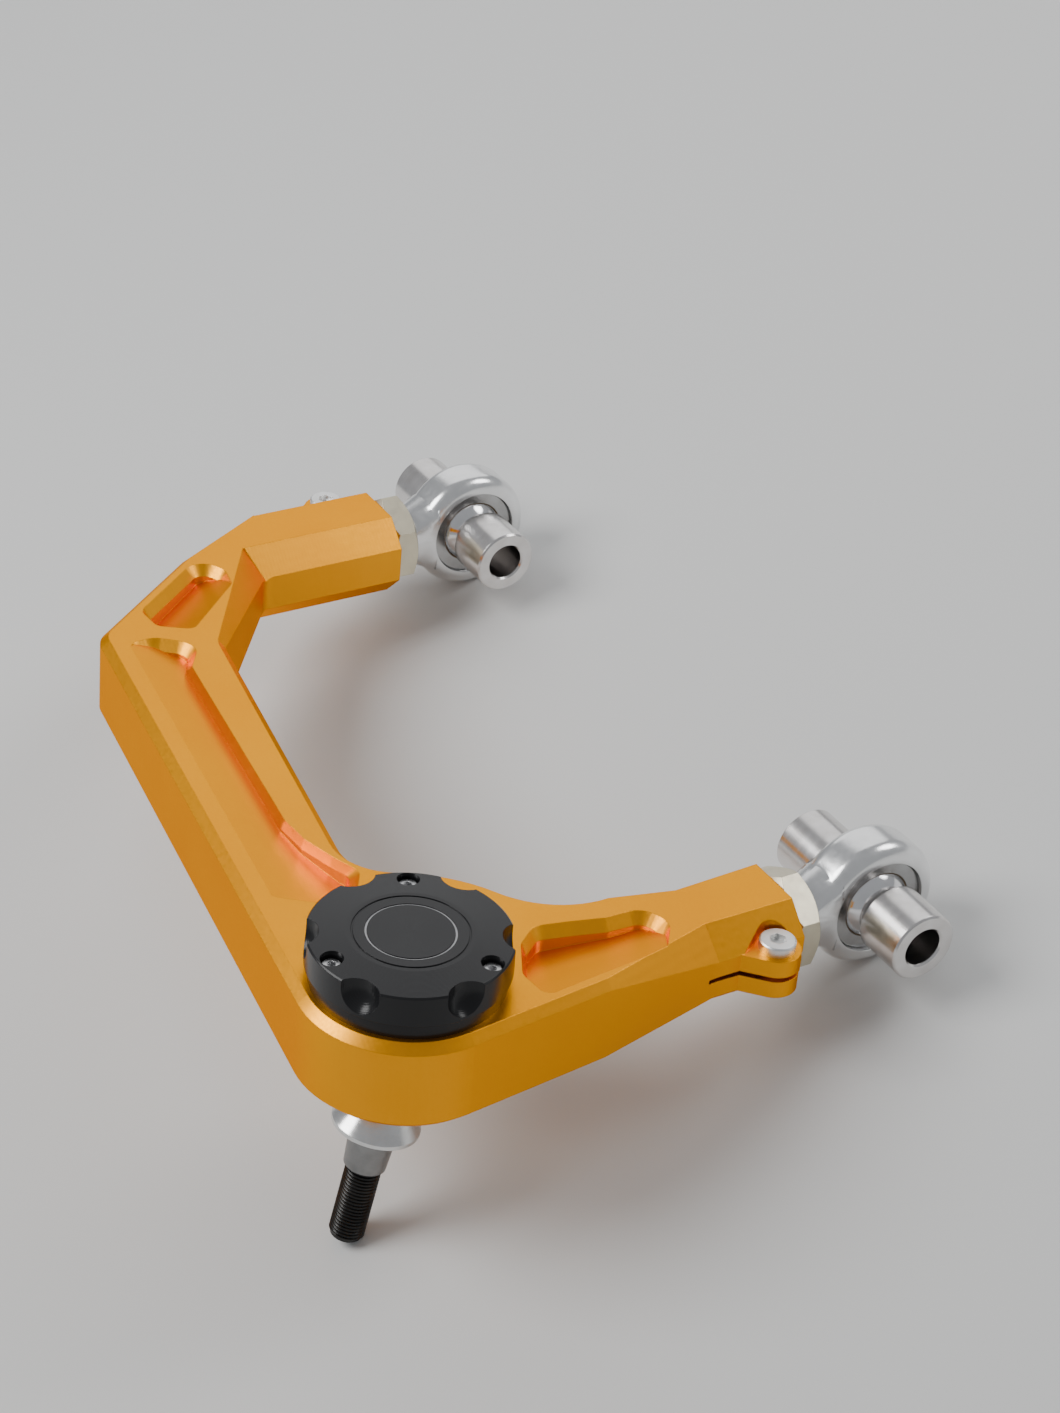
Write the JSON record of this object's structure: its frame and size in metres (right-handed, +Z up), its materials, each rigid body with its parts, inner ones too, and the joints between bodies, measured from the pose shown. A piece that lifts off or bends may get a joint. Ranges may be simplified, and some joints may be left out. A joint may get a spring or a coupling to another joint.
{
  "type": "suspension control arm with rod end bearings",
  "caption": "Machined C-shaped suspension arm with a clamped rod end bearing on each leg and a capped spherical bearing with a leaning stud at the outer end.",
  "frame": {"origin": "centre of the box's bottom face; the arm stands on the stud's tip and on both rod end eyes", "axes": "+Y along the pivot line from the front leg to the rear leg, +X from the stud towards the pivot line, +Z up"},
  "size_m": [0.2736, 0.4, 0.1372],
  "materials": {
    "arm_anodised": "satin orange anodised, machined",
    "cap_anodised": "black anodised, turned",
    "cap_screw_steel": "plain stainless",
    "seal_rubber": "matte nitrile",
    "spring_steel": "phosphated spring steel",
    "race_steel": "ground steel",
    "liner_fabric": "woven low-friction liner",
    "ball_chrome": "hard chromed and polished",
    "black_oxide": "black oxide",
    "spacer_steel": "bright turned stainless",
    "collar_steel": "grey phosphated",
    "rod_end_steel": "bright plated",
    "nut_plated": "pale yellow zinc",
    "pinch_screw_steel": "white zinc"
  },
  "bodies": {
    "arm": {"control_arm": "arm_anodised", "top_cap": "cap_anodised", "cap_screws": "cap_screw_steel", "cap_seal_ring": "seal_rubber", "uniball_retaining_ring": "spring_steel", "uniball_race": "race_steel", "front_jam_nut": "nut_plated", "rear_jam_nut": "nut_plated", "front_pinch_screw": "pinch_screw_steel", "rear_pinch_screw": "pinch_screw_steel"},
    "uniball_swing": {"uniball_liner": "liner_fabric"},
    "uniball_tilt": {"uniball_ball": "ball_chrome"},
    "stud": {"stud_bolt": "black_oxide", "stud_upper_spacer": "spacer_steel", "stud_cone_spacer": "spacer_steel", "stud_taper_collar": "collar_steel"},
    "front_rod_end": {"front_rod_end_body": "rod_end_steel", "front_rod_end_race": "race_steel"},
    "front_ball_swing": {"front_rod_end_liner": "liner_fabric"},
    "front_ball_tilt": {"front_rod_end_ball": "ball_chrome"},
    "front_spacers": {"front_inner_spacer": "spacer_steel", "front_outer_spacer": "spacer_steel"},
    "rear_rod_end": {"rear_rod_end_body": "rod_end_steel", "rear_rod_end_race": "race_steel"},
    "rear_ball_swing": {"rear_rod_end_liner": "liner_fabric"},
    "rear_ball_tilt": {"rear_rod_end_ball": "ball_chrome"},
    "rear_spacers": {"rear_inner_spacer": "spacer_steel", "rear_outer_spacer": "spacer_steel"}
  },
  "joints": [
    {"name": "uniball_swing_turn", "type": "hinge", "parent": "arm", "child": "uniball_swing", "pos_m": [-0.08356, -0.154, 0.08954], "axis": [0.3059, 0, 0.9521], "continuous": true},
    {"name": "uniball_tilt_turn", "type": "hinge", "parent": "uniball_swing", "child": "uniball_tilt", "pos_m": [-0.08356, -0.154, 0.08954], "axis": [0, 1, 0], "range_deg": [-33, 11]},
    {"name": "stud_spin", "type": "hinge", "parent": "uniball_tilt", "child": "stud", "pos_m": [-0.08356, -0.154, 0.08954], "axis": [0.4819, 0, 0.8762], "continuous": true},
    {"name": "front_length_adjust", "type": "slide", "parent": "arm", "child": "front_rod_end", "axis": [0.9521, 0, -0.3059], "range_m": [0, 0.01]},
    {"name": "front_ball_swing_turn", "type": "hinge", "parent": "front_rod_end", "child": "front_ball_swing", "pos_m": [0.10923, -0.16, 0.0276], "axis": [0, 1, 0], "continuous": true},
    {"name": "front_ball_tilt_turn", "type": "hinge", "parent": "front_ball_swing", "child": "front_ball_tilt", "pos_m": [0.10923, -0.16, 0.0276], "axis": [0.3059, 0, 0.9521], "range_deg": [-20, 20]},
    {"name": "front_spacer_spin", "type": "hinge", "parent": "front_ball_tilt", "child": "front_spacers", "pos_m": [0.10923, -0.16, 0.0276], "axis": [0, 1, 0], "continuous": true},
    {"name": "rear_length_adjust", "type": "slide", "parent": "arm", "child": "rear_rod_end", "axis": [0.9521, 0, -0.3059], "range_m": [0, 0.01]},
    {"name": "rear_ball_swing_turn", "type": "hinge", "parent": "rear_rod_end", "child": "rear_ball_swing", "pos_m": [0.10923, 0.16, 0.0276], "axis": [0, 1, 0], "continuous": true},
    {"name": "rear_ball_tilt_turn", "type": "hinge", "parent": "rear_ball_swing", "child": "rear_ball_tilt", "pos_m": [0.10923, 0.16, 0.0276], "axis": [0.3059, 0, 0.9521], "range_deg": [-20, 20]},
    {"name": "rear_spacer_spin", "type": "hinge", "parent": "rear_ball_tilt", "child": "rear_spacers", "pos_m": [0.10923, 0.16, 0.0276], "axis": [0, 1, 0], "continuous": true}
  ]
}
